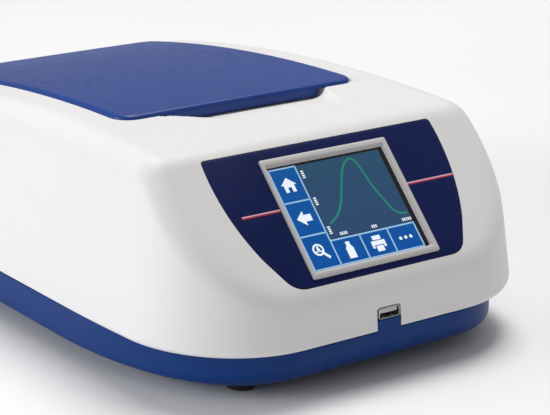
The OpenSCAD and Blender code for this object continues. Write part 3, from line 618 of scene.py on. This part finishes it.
STEEL = metal("plated_steel", (0.62, 0.62, 0.63), 0.26, (1, 1, 6))
ALUMINIUM = metal("milled_aluminium", (0.72, 0.73, 0.75), 0.36, (1, 8, 1))
ANODISED = metal("black_anodised", (0.05, 0.05, 0.055), 0.42, (1, 1, 1), 900.0)
GOLD = metal("gold_plate", (0.83, 0.60, 0.22), 0.2)
MIRROR = metal("mirror_coat", (0.88, 0.89, 0.9), 0.1, scale=80.0, strength=0.02)
GLASS = clear("optical_glass", (0.88, 0.94, 0.96))
BOARD = board("solder_mask")
SCREEN_BG = lit("plot_field", (0.026, 0.060, 0.165), (0.022, 0.080, 0.150), 0.22)
BUTTON = lit("button_face", (0.000, 0.080, 0.36), (0.001, 0.090, 0.33), 0.25)
# The button frame lines, and also the painted highlight along the screen's left and bottom edges
CELL_LINE_AND_EDGE_HIGHLIGHT = lit("button_frame_and_painted_highlight", (0.32, 0.55, 0.80), (0.30, 0.50, 0.72), 0.3)
ICON = lit("icon_white", (0.80, 0.88, 0.95), (0.74, 0.82, 0.90), 0.35)
CURVE = lit("curve_green", (0.024, 0.23, 0.165), (0.022, 0.21, 0.15), 0.3)
CURVE_EDGE = lit("curve_glow", (0.022, 0.10, 0.165), (0.018, 0.105, 0.145), 0.25)
RED = plastic("red_ink", (0.42, 0.015, 0.05), 0.4, vary=0.08)
PINK = plastic("pink_ink", (0.78, 0.46, 0.56), 0.4, vary=0.05)

SLOT_MATERIALS = {
    "case_white": WHITE, "base_blue": BLUE, "lid_blue": LID_BLUE, "overlay_navy": NAVY, "bezel_grey": BEZEL,
    "screen_glass": SCREEN_BLACK, "rubber_black": RUBBER, "plastic_black": BLACK, "panel_grey": PANEL,
    "steel": STEEL, "aluminium": ALUMINIUM, "black_anodised": ANODISED, "optical_glass": GLASS,
    "board_green": BOARD, "display_black": DISPLAY, "flex_amber": AMBER, "gold_contact": GOLD,
    "mirror_coat": MIRROR}
NODE_SLOTS = {row["node"]: row["material_slot"] for row in frame["record"]["subparts"]}
for node_name, node_object in NODES.items():
    finish = SLOT_MATERIALS[NODE_SLOTS[node_name]]
    for place in node_object.material_slots:
        place.material = finish


# ---------------------------------------------------------------- casings
REAR_GAP = 4.4
TUB_D, MOUTH_INSET = 11.6, 3.4
# Places of the screw columns and of the feet
COLUMNS = [(-88, -106), (88, -106), (-90, 140), (90, 140)]
FEET = [(-66, -148.5), (66, -148.5), (-70, 150), (70, 150)]
COLUMN_R, POST_R, PILOT_R, BORE_R, HEAD_R, PEG_R = 4.5, 5, 1.4, 1.7, 3.6, 2.6
VENTS, VENT_Y, VENT_PITCH = 7, 93.5, 8
USB_X, USB_Z = 1.0, SEAM_Z + 9
NOTCH_W, NOTCH_TOP, NOTCH_R = 7.6, SEAM_Z + 12.3, 1.6
PANEL_W, PANEL_Z = 67.0, (31.0, 77.0)
PANEL_HOLE_R, PANEL_RECESS_R = 1.3, 2.8


def lid_outline(grow):
    """Right half of the lid's plan, moved out by grow."""
    return half_outline(LID_W + grow, LID_FRONT - grow, LID_REAR + grow, LID_R + grow, LID_R + grow)


def side_width(v, grow):
    """Half width of the overlay at height v: its sides are long arcs."""
    arc_r, arc_v, half = 124.0, 30.0, 73.6
    return half + grow - arc_r + math.sqrt(arc_r ** 2 - (v - arc_v) ** 2)


def fillet(a, b, c, r, n=6):
    """Points of a round corner at b, between the edges from a and to c."""
    a, b, c = (np.array(p, float) for p in (a, b, c))
    u, w = (a - b) / np.linalg.norm(a - b), (c - b) / np.linalg.norm(c - b)
    half = math.acos(float(np.clip(u @ w, -1, 1))) / 2
    middle = b + (u + w) / np.linalg.norm(u + w) * r / math.sin(half)
    s, e = b + u * r / math.tan(half) - middle, b + w * r / math.tan(half) - middle
    turn = math.atan2(s[0] * e[1] - s[1] * e[0], s @ e)
    return [tuple(middle + [s[0] * math.cos(t) - s[1] * math.sin(t), s[0] * math.sin(t) + s[1] * math.cos(t)])
            for t in np.linspace(0, turn, n + 1)]


def overlay_outline(grow):
    """The fascia film's outline: two curved sides, rounded where they meet the top and the bottom."""
    low, top = -38.0 - grow, 40.6 + grow
    side = [(side_width(v, grow), v) for v in np.linspace(low, top, 25)]
    right = fillet((0, low), side[0], side[4], 12, 10) + side[6:23]
    right += fillet(side[22], side[24], (0, top), 2.2, 4)
    return right + [(-x, y) for x, y in right[::-1]]


def make_case():
    """The hollow case, cut for the lid, the chamber, the fascia, the front socket and the rear panel."""
    case = case_shell("case_shell", 0.0, SEAM_Z, 3.0, 26, lip=1.1)
    room = case_shell("case_room", WALL, SEAM_Z + 2.4, 8.0, 12)
    tub = arched("tub", [half_outline(LID_W + 3.2, LID_FRONT + 5.6, LID_REAR + REAR_GAP + 2.4, 9, 6)] * 2,
                 [-TUB_D, 6])
    columns = [prism("column", disc(COLUMN_R, x, y), "z", SEAM_Z - 4, 130) for x, y in COLUMNS]
    carve(room, tub, *columns)
    mouth, _ = base_outline(MOUTH_INSET)
    carve(case, room, prism("mouth", mouth, "z", SEAM_Z - 2, SEAM_Z + 3))

    gaps = (LID_GAP, LID_GAP, 1.35, 1.35)
    bevel = [-CASE_DROP - 0.75, -CASE_DROP - 0.05, 8]
    rebate = arched("rebate", [lid_outline(g) for g in gaps], [-REBATE_D] + bevel)
    well = arched("well", [half_outline(LID_W - 4, LID_FRONT + 8, LID_REAR - 14, 8, 6)] * 2, [-WELL_D, 8])
    slots = [half_outline(LID_W + g, LID_REAR - 16 - g, LID_REAR + REAR_GAP + g - LID_GAP, 2, 2)
             for g in gaps]
    rear_slot = arched("rear_slot", slots, [-WELL_D] + bevel)
    hole = block("hole", (-CHAMBER, CHAMBER_Y - CHAMBER, 90), (CHAMBER, CHAMBER_Y + CHAMBER, 122))
    pocket = facet_prism("pocket", overlay_outline(0.2), -1.1, 14)
    window = facet_prism("window", round_rect(39, 33, 1, SCREEN_X), -14, 14)

    left, right = USB_X - NOTCH_W, USB_X + NOTCH_W
    notch = prism("notch", [(left, SEAM_Z - 2), (right, SEAM_Z - 2)]
                  + fillet((right, SEAM_Z), (right, NOTCH_TOP), (0, NOTCH_TOP), NOTCH_R)
                  + fillet((USB_X, NOTCH_TOP), (left, NOTCH_TOP), (left, SEAM_Z), NOTCH_R),
                  "y", Y_FRONT - 2, Y_FRONT + WALL + 3)
    low, high = PANEL_Z
    rear = prism("rear", round_rect(PANEL_W - 7, (high - low) / 2 - 3, 3, 0, (low + high) / 2),
                 "y", Y_REAR - 8, Y_REAR + 2)
    holes = []
    for x in (3 - PANEL_W, PANEL_W - 3):
        for z in (low + 6, high - 6):
            holes += [prism("hole", disc(PANEL_HOLE_R, x, z, 16), "y", Y_REAR - 8, Y_REAR + 2),
                      prism("recess", disc(PANEL_RECESS_R, x, z), "y", Y_REAR - 1.8, Y_REAR + 2)]
    holes += [prism("pilot", disc(PILOT_R, x, y, 16), "z", SEAM_Z - 2, SEAM_Z + 16) for x, y in COLUMNS]
    carve(case, rebate, well, rear_slot, hole, pocket, window, notch, rear, *holes)
    case.name = "case_top"
    finish_mesh(case, WHITE, replaces=("top_case",))


def make_base():
    """The hollow base, with screw posts, sockets for the feet and vents under its rear."""
    low = BASE_LO[2]
    base = base_solid("base_body", 0.0, low, SEAM_Z)
    carve(base, base_solid("base_room", WALL, low + WALL, SEAM_Z + 3))
    posts = [prism("post", disc(POST_R, x, y), "z", low + 1, SEAM_Z) for x, y in COLUMNS]
    posts += [prism("boss", disc(3.5, x, Y_FRONT + 24), "z", low + 1, SEAM_Z + 4.5) for x in (-8, 10)]
    tab = prism("tab", round_rect(7.5, 3.9, 0.5, USB_X, SEAM_Z + 1.9), "y", Y_FRONT, Y_FRONT + WALL)
    carve(base, *posts, tab, how="UNION")
    cuts = []
    for x, y in COLUMNS:
        cuts += [prism("recess", disc(HEAD_R, x, y), "z", low - 1, low + 8),
                 prism("bore", disc(BORE_R, x, y, 16), "z", low, SEAM_Z + 1)]
    cuts += [prism("socket", disc(PEG_R, x, y), "z", low - 1, low + 6) for x, y in FEET]
    for i in range(VENTS):
        vent = round_rect(30, 1.5, 1.4, 0, VENT_Y + VENT_PITCH * i)
        cuts.append(prism("vent", vent, "z", low - 1, low + WALL + 1))
    carve(base, *cuts)
    base.name = "base_shell"
    finish_mesh(base, BLUE, replaces=("base_tray",))


def make_feet():
    """Four round feet, each with a peg that goes into the base."""
    low = BASE_LO[2]
    profile = [(5.2, 0.35), (5.6, 0.0), (6.7, 0.0), (7.3, 0.3), (7.5, 1.0), (7.5, low - 0.6), (7.2, low),
               (2.5, low), (2.5, low + 4.4), (2.1, low + 5)]
    sides = 40
    feet = []
    for x, y in FEET:
        rings = [np.column_stack([disc(r, x, y, sides), np.full(sides, z)]) for r, z in profile]
        feet.append(loft("foot", rings))
    finish_mesh(join("feet", feet), RUBBER, replaces=("rubber_feet",))


def make_lid():
    """The lid: an arched plate with a rolled edge, a skirt under it and the grip at its front."""
    low, high, crown = LID_PROUD - LID_T + 0.1, LID_PROUD, 0.25
    edge_w, edge_h = 2.6, 2.3
    steps = [(-0.35, low), (0.0, low + 0.4)]
    for a in np.linspace(0, math.pi / 2, 8):
        steps.append((-edge_w * (1 - math.cos(a)), high - edge_h * (1 - math.sin(a))))
    lid = arched("lid_plate", [lid_outline(g) for g, _ in steps], [h for _, h in steps], 12, crown, LID_W)
    skirt_out = [half_outline(LID_W - 5.2 + g, LID_FRONT + 9.2 - g, LID_REAR - 25 + g, 7, 6)
                 for g in (-0.3, 0, 0)]
    skirt = arched("skirt", skirt_out, [-SKIRT_D, 0.3 - SKIRT_D, low + 0.5])
    hollow = arched("hollow", [half_outline(LID_W - 7.2, LID_FRONT + 11.2, LID_REAR - 27, 5, 4)] * 2,
                    [-SKIRT_D - 1, 2])
    carve(skirt, hollow)
    grip_step = [(-0.9, -GRIP_D), (-0.3, 0.2 - GRIP_D), (0.0, 0.7 - GRIP_D), (0.0, low + 0.5)]
    grip = arched("grip", [half_outline(GRIP_W / 2 + g, LID_FRONT + 1 - g, LID_FRONT + 10.2, 2, 0.5, 3.0)
                           for g, _ in grip_step], [h for _, h in grip_step], 8)
    carve(lid, skirt, grip, how="UNION")
    lid.name = "lid_shell"
    finish_mesh(lid, LID_BLUE, sharp=40, body="lid", replaces=("sample_lid",))


# ---------------------------------------------------------------- fascia
SCREEN_W, SCREEN_H, BEZEL_W = 73.0, 59.0, 3.8


def make_overlay():
    """The dark film on the fascia, with a window for the screen."""
    rings = []
    for n, grow in ((-1.0, 0.0), (-0.2, 0.0), (-0.05, -0.06), (0.0, -0.2)):
        flat = np.array(overlay_outline(grow))
        rings.append(on_facet(np.column_stack([flat, np.full(len(flat), n)])))
    film = loft("overlay", rings)
    carve(film, facet_prism("window", round_rect(SCREEN_W / 2 + 2, SCREEN_H / 2 + 3, 0.6, SCREEN_X), -3, 3))
    finish_mesh(film, NAVY, replaces=("fascia_overlay",), weighted=False)


def make_bezel():
    """A frame whose face rolls over outside and slopes down to the glass inside."""
    section = [(0.0, 0.0), (0.0, 0.9), (0.06, 1.35), (0.2, 1.65), (0.4, 1.78), (0.62, 1.8), (0.74, 1.66),
               (0.86, 1.1), (0.97, 0.62), (1.0, 0.45), (1.0, -3.0), (0.56, -3.0), (0.56, 0.0)]
    out_w, out_h = SCREEN_W / 2 + BEZEL_W, SCREEN_H / 2 + 1.3 * BEZEL_W
    open_w, open_h = SCREEN_W / 2 + 0.4, SCREEN_H / 2 + 0.5
    rings = []
    for f, n in section:
        w, h = out_w + (open_w - out_w) * f, out_h + (open_h - out_h) * f
        flat = np.array(round_rect(w, h, 1.0 - 0.7 * f, SCREEN_X - f, -0.5 * f))
        rings.append(on_facet(np.column_stack([flat, np.full(len(flat), n)])))
    finish_mesh(loft("bezel", rings, "loop"), BEZEL, sharp=50, replaces=("screen_bezel",))


def trim(name, outlines, n0, n1, material):
    """Thin flat shapes on the fascia, as one piece."""
    parts = [facet_prism(name + "_part", outline, n0, n1) for outline in outlines]
    finish_mesh(join(name, parts), material, sharp=30, weighted=False)


def bar(u0, u1, v0, v1):
    """An upright rectangle on the fascia."""
    return [(u0, v0), (u1, v0), (u1, v1), (u0, v1)]


def shifted(points, u, v):
    return [(u + a, v + b) for a, b in points]


def spline(points):
    """A smooth curve through the points."""
    p = np.array([points[0], *points, points[-1]], float)
    out = []
    for i in range(1, len(p) - 2):
        a, b, c, d = p[i - 1], p[i], p[i + 1], p[i + 2]
        for t in np.linspace(0, 1, 10, endpoint=False):
            out.append(0.5 * (2 * b + (c - a) * t + (2 * a - 5 * b + 4 * c - d) * t * t
                              + (3 * b - a - 3 * c + d) * t ** 3))
    return np.array(out + [p[-2]])


def ribbon(path, width):
    """The outline of a stroke along a path."""
    along = np.gradient(path, axis=0)
    along /= np.linalg.norm(along, axis=1)[:, None]
    side = np.column_stack([-along[:, 1], along[:, 0]]) * width / 2
    return [tuple(p) for p in np.vstack([path + side, (path - side)[::-1]])]


def ring_outline(r, width, u, v):
    """A nearly closed ring, as one outline."""
    turns = np.linspace(0.02, 2 * math.pi - 0.02, 28)
    outer = [(u + r * math.cos(t), v + r * math.sin(t)) for t in turns]
    inner = [(u + (r - width) * math.cos(t), v + (r - width) * math.sin(t)) for t in turns[::-1]]
    return outer + inner


def make_screen():
    """What the display shows: a plot with one peak, six buttons and generic signs on them, with a painted
    highlight along the screen's left and bottom edges.
    """
    left, right, low, top = -38.7, 32.0, -30.4, 28.2
    col, row = -21.9, -16.1
    cells_v = [28.0, 8.5, -11.0]
    cells_u = [-21.9, -3.7, 14.0, 31.6]
    z = GLASS_TOP
    trim("screen_field", [bar(left, right, low, top)], z, z + 0.04, SCREEN_BG)
    buttons = [bar(left, col, v1, v0) for v0, v1 in zip(cells_v, cells_v[1:] + [low])]
    buttons += [bar(u0, u1, low, row) for u0, u1 in zip(cells_u, cells_u[1:])]
    trim("screen_buttons", buttons, z + 0.03, z + 0.08, BUTTON)
    t = 0.42
    lines = [bar(left, col + t, v - t, v + t) for v in cells_v]
    lines += [bar(col - t, col + t, low, cells_v[0] + t), bar(col, cells_u[-1] + t, row - t, row + t)]
    lines += [bar(u - t, u + t, low, row) for u in cells_u[1:]]
    # Painted highlight: these thicker glowing bars along the left and bottom edges stand in for the bezel's
    # inner edge catching the light
    lines += [bar(left, left + 1.7 * t, low, cells_v[0] + t), bar(left, cells_u[-1] + t, low, low + 1.7 * t)]
    trim("screen_lines", lines, z + 0.07, z + 0.12, CELL_LINE_AND_EDGE_HIGHLIGHT)

    home = [(-4.7, 0.2), (0, 4.4), (4.7, 0.2), (3.2, 0.2), (3.2, -4), (1.1, -4), (1.1, -1.2), (-1.1, -1.2),
            (-1.1, -4), (-3.2, -4), (-3.2, 0.2)]
    arrow = [(-4.7, 0), (0.2, 4.2), (0.2, 1.9), (4.3, 1.9), (4.3, -1.9), (0.2, -1.9), (0.2, -4.2)]
    bottle = [(-1.3, 4.8), (1.3, 4.8), (1.3, 2.6), (2.3, 1.2), (2.3, -4.6), (-2.3, -4.6), (-2.3, 1.2),
              (-1.3, 2.6)]
    handle = np.array([(1.5, -21.8), (4.3, -24.8)])
    small_peak = spline([(-3.2, -20.6), (-1.6, -20.2), (-0.8, -17.8), (0, -20.2), (1.6, -20.6)])
    mid_u, mid_v = (left + col) / 2, (row + low) / 2
    centres = [(a + b) / 2 for a, b in zip(cells_u, cells_u[1:])]
    icons = [shifted(home, mid_u, 18.2), shifted(arrow, mid_u, -1.2),
             ring_outline(3.4, 1.1, mid_u - 0.8, -19.4), ribbon(handle + [mid_u, 0], 1.5),
             ribbon(small_peak + [mid_u, 0], 0.8), shifted(bottle, centres[0], mid_v)]
    printer = [[(-4.3, -2.3), (-4.3, 1.7), (4.3, 1.7), (4.3, -2.3), (2.9, -2.3), (2.9, -0.7), (-2.9, -0.7),
                (-2.9, -2.3)], bar(-2.6, 2.6, 2.2, 4.6), bar(-2.2, 2.2, -4.4, -1.2)]
    icons += [shifted(shape, centres[1], mid_v) for shape in printer]
    icons += [disc(0.95, centres[2] + d, mid_v, 20) for d in (-3.3, 0, 3.3)]
    for v in (22.6, 6.6, -10.4):
        icons += [bar(-20.1, -18.4, v + k, v + k + 0.75) for k in (-2.2, -1.0, 0.2, 1.4)]
    for u, count in ((-14.4, 4), (5.8, 3), (25.8, 5)):
        icons += [bar(u + 1.25 * k, u + 1.25 * k + 0.75, -14.4, -12.7) for k in range(count)]
    trim("screen_icons", icons, z + 0.11, z + 0.15, ICON)

    shape = spline([(-17.2, -7.2), (-10.7, -3.2), (-5.2, 3), (-0.2, 12), (5.8, 22), (12.3, 26.3), (15.6, 22),
                    (18, 9.3), (21.3, -1), (24.8, -8.4), (31.2, -10.2)])
    trim("screen_curve_glow", [ribbon(shape, 1.9)], z + 0.035, z + 0.06, CURVE_EDGE)
    trim("screen_curve", [ribbon(shape, 0.95)], z + 0.05, z + 0.09, CURVE)


def make_lines():
    """The two-tone line that runs across the overlay, either side of the bezel."""
    v, left_end = 5.8, -64.7
    inner_l, inner_r = SCREEN_X - SCREEN_W / 2 - BEZEL_W - 0.2, SCREEN_X + SCREEN_W / 2 + BEZEL_W + 0.2
    outer_r = side_width(v, 0) - 0.3
    spans = [(left_end, inner_l), (inner_r, outer_r)]
    trim("line_pink", [bar(a, b, v, v + 0.75) for a, b in spans], -0.02, 0.04, PINK)
    trim("line_red", [bar(a, b, v - 0.8, v) for a, b in spans], -0.02, 0.04, RED)


# ---------------------------------------------------------------- sockets and small parts
def make_usb():
    """The front socket's bent shell, open in front, with two spring fingers at its floor."""
    out_w, out_h, sheet = 6.6, 2.9, 0.4
    front, back = Y_FRONT + 0.4, Y_FRONT + 17
    steps = [(0, 0.9, back), (0, 0.9, front + 0.15), (0.12, 0.8, front), (sheet - 0.1, 0.55, front),
             (sheet, 0.5, front + 0.2), (sheet, 0.5, back - 2)]
    rings = []
    for inset, r, y in steps:
        flat = np.array(round_rect(out_w - inset, out_h - inset, r, USB_X, USB_Z))
        rings.append(np.column_stack([flat[:, 0], np.full(len(flat), y), flat[:, 1]]))
    finish_mesh(loft("usb_shell", rings), STEEL, replaces=("front_usb_shell",))
    side = [(1, -2.5), (1, -2.42), (4, -1.75), (5.4, -1.95), (5.4, -2.05), (4, -1.87)]
    side = shifted(side, front, USB_Z)
    fingers = [prism("finger", side, "x", x - 0.9, x + 0.9) for x in (USB_X - 3, USB_X + 3)]
    finish_mesh(join("usb_fingers", fingers), STEEL, weighted=False)


def soften(node, width, body="instrument"):
    """A copy of a CAD node with its edges rounded, shown in its place."""
    mesh = NODES[node].data.copy()
    obj = bpy.data.objects.new(node + "_rounded", mesh)
    SCENE.collection.objects.link(obj)
    bm = bmesh.new()
    bm.from_mesh(mesh)
    bmesh.ops.remove_doubles(bm, verts=bm.verts, dist=1e-6)
    bmesh.ops.dissolve_limit(bm, angle_limit=math.radians(0.6), verts=bm.verts, edges=bm.edges)
    bm.to_mesh(mesh)
    bm.free()
    mod = obj.modifiers.new("round", "BEVEL")
    mod.width = width * MM
    mod.segments = 2
    mod.limit_method = "ANGLE"
    mod.angle_limit = math.radians(35)
    mod.harden_normals = False
    bpy.context.view_layer.update()
    settle(obj)
    slot = NODE_SLOTS[node]
    finish_mesh(obj, SLOT_MATERIALS[slot], sharp=40, body=body, replaces=(node,))


SOFTENED = [("rear_panel", 0.25), ("rear_usb_socket", 0.2), ("power_inlet", 0.25), ("switch_frame", 0.35),
            ("chamber_liner", 0.4), ("cuvette_holder", 0.35), ("hinge_brackets", 0.25), ("lamp_housing", 0.3),
            ("spectrometer_housing", 0.4), ("spectrometer_cover", 0.3), ("optical_bench", 0.4),
            ("processor_heatsink", 0.15), ("lid_switch", 0.3)]
SOFTENED_LID = [("lid_inner_plate", 0.3), ("lid_hinge_arms", 0.3)]


# ---------------------------------------------------------------- camera, lights and floor
def make_camera():
    """The camera looks at the instrument from its front left corner, from a little above."""
    yaw, pitch, focal = math.radians(35.66), math.radians(17.14), 134.1
    data = bpy.data.cameras.new("camera")
    data.lens = focal
    data.sensor_width = 36.0
    camera = bpy.data.objects.new("camera", data)
    camera.location = (-0.6131, -0.9404, 0.3911)
    camera.rotation_euler = (math.pi / 2 - pitch, 0, -yaw)
    SCENE.collection.objects.link(camera)
    SCENE.camera = camera


AIM = (0, -0.02, 0.06)


def make_light(name, place, size, watts, colour):
    """A rectangular light turned to the middle of the instrument."""
    data = bpy.data.lights.new(name, "AREA")
    data.shape = "RECTANGLE"
    data.size, data.size_y = size
    data.energy = watts
    data.color = colour
    light = bpy.data.objects.new(name, data)
    light.location = place
    x, y, z = np.array(AIM, float) - np.array(place, float)
    light.rotation_euler = (math.atan2(math.hypot(x, y), -z), 0, math.atan2(y, x) - math.pi / 2)
    SCENE.collection.objects.link(light)


def make_stage():
    """A wide pale floor, an even surrounding light, and two lamps."""
    mat, tree, bsdf, coord = shader("pale_floor")
    tone = noise(tree, coord, 1.5, 2.0)
    tree.links.new(ramp(tree, tone, (0.3, (0.86, 0.86, 0.875)), (0.7, (0.9, 0.9, 0.91))),
                   bsdf.inputs["Base Color"])
    tree.links.new(spread(tree, tone, 0.5, 0.6), bsdf.inputs["Roughness"])
    bsdf.inputs["Specular IOR Level"].default_value = 0.2
    reach = 9.0
    mesh = bpy.data.meshes.new("floor")
    corners = [(-reach, -reach, 0), (reach, -reach, 0), (reach, reach, 0), (-reach, reach, 0)]
    mesh.from_pydata(corners, [], [(0, 1, 2, 3)])
    mesh.materials.append(mat)
    floor = bpy.data.objects.new("floor", mesh)
    SCENE.collection.objects.link(floor)
    world = bpy.data.worlds.new("studio")
    world.use_nodes = True
    background = world.node_tree.nodes["Background"]
    background.inputs["Color"].default_value = (1.0, 0.98, 0.955, 1)
    background.inputs["Strength"].default_value = 0.32
    SCENE.world = world
    make_light("left_softbox", (-2.3, 0.62, 0.72), (1.5, 1.1), 35, (0.955, 0.975, 1))
    make_light("overhead", (0.55, 0.42, 2.2), (1.1, 1.1), 39, (1, 0.985, 0.97))
    SCENE.view_settings.view_transform = "Standard"


make_camera()
make_case()
make_base()
make_feet()
make_lid()
make_overlay()
make_bezel()
make_screen()
make_lines()
make_usb()
for node_name, radius in SOFTENED:
    soften(node_name, radius)
for node_name, radius in SOFTENED_LID:
    soften(node_name, radius, body="lid")
soften("power_rocker", 0.4, body="rocker")
soften("front_usb_tongue", 0.2)
make_stage()
